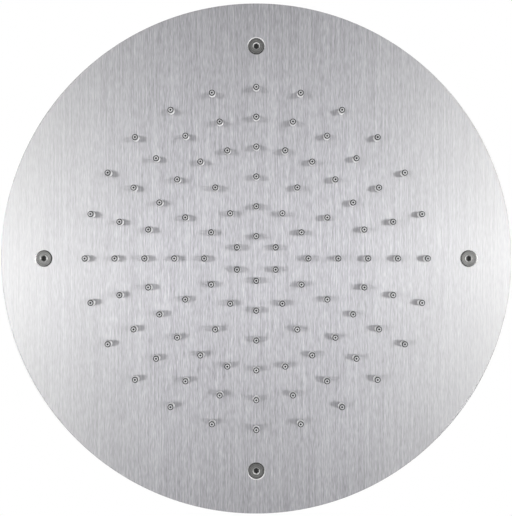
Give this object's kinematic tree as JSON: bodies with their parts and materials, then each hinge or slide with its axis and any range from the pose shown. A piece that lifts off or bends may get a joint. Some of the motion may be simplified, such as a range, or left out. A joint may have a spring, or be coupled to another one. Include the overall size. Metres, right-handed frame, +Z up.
{
  "type": "ceiling rain shower head",
  "caption": "Flat round rain shower head for flush ceiling mounting, with rings of soft nozzles in a brushed steel face, a bolted water chamber and a swivel inlet.",
  "frame": {"origin": "on the head's axis, in the ceiling plane, which the rim gasket meets", "axes": "+Z up along the screws and the inlet, away from the spray; +Y along the grain of the brushed face"},
  "size_m": [0.3, 0.3, 0.0565],
  "materials": {
    "brushed_face": "brushed in one direction, clear satin",
    "nozzle_silicone": "soft matt silicone",
    "pan_steel": "mill finish",
    "fastener_steel": "plain bright",
    "screw_steel": "turned, satin",
    "inlet_brass": "turned",
    "seal_rubber": "matt",
    "gasket_foam": "closed-cell foam",
    "strainer_steel": "perforated sheet",
    "regulator_plastic": "moulded"
  },
  "bodies": {
    "head": {"face_plate": "brushed_face", "nozzle_mat": "nozzle_silicone", "chamber_pan": "pan_steel", "clamp_studs": "fastener_steel", "clamp_washers": "fastener_steel", "clamp_nuts": "fastener_steel", "ceiling_screws": "screw_steel", "rim_gasket": "gasket_foam", "inlet_spigot": "inlet_brass", "spigot_seal": "seal_rubber", "spigot_locknut": "inlet_brass", "strainer": "strainer_steel", "inlet_washer": "seal_rubber", "flow_regulator": "regulator_plastic", "regulator_ring": "seal_rubber"},
    "union": {"union_nut": "inlet_brass"}
  },
  "joints": [
    {"name": "union_swivel", "type": "hinge", "parent": "head", "child": "union", "pos_m": [0, 0, 0.0385], "axis": [0, 0, 1], "continuous": true}
  ]
}
